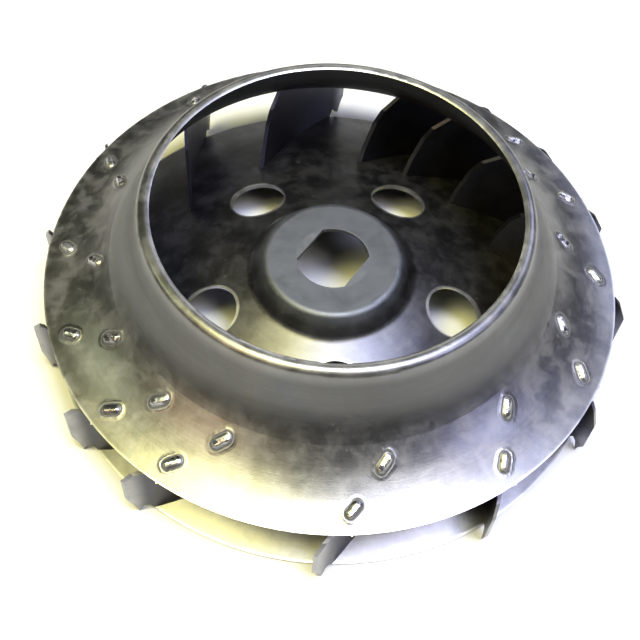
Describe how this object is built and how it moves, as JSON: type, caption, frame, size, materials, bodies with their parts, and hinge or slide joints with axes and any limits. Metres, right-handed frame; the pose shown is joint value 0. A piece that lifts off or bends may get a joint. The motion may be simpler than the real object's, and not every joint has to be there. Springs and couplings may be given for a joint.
{
  "type": "centrifugal cooling fan impeller",
  "caption": "Pressed-steel centrifugal fan impeller: coned back plate with a double-D hub hole, bellmouth inlet shroud and curved blades fixed by peened tabs.",
  "frame": {"origin": "on the spin axis, level with the lowest edge of the back plate", "axes": "+Z along the spin axis, out of the air inlet; +X and +Y in the plane of the back plate's rim, with the hub hole's flats running 60 degrees counter-clockwise from +X"},
  "size_m": [0.23, 0.2304, 0.0707],
  "materials": {
    "plate_steel": "blackened, dull satin",
    "shroud_steel": "blackened, semi-gloss, worn bright on edges",
    "blade_steel": "blackened, dull satin"
  },
  "bodies": {
    "root": {"back_plate": "plate_steel", "front_shroud": "shroud_steel", "blade_01": "blade_steel", "blade_02": "blade_steel", "blade_03": "blade_steel", "blade_04": "blade_steel", "blade_05": "blade_steel", "blade_06": "blade_steel", "blade_07": "blade_steel", "blade_08": "blade_steel", "blade_09": "blade_steel", "blade_10": "blade_steel", "blade_11": "blade_steel", "blade_12": "blade_steel", "blade_13": "blade_steel", "blade_14": "blade_steel"}
  },
  "joints": []
}
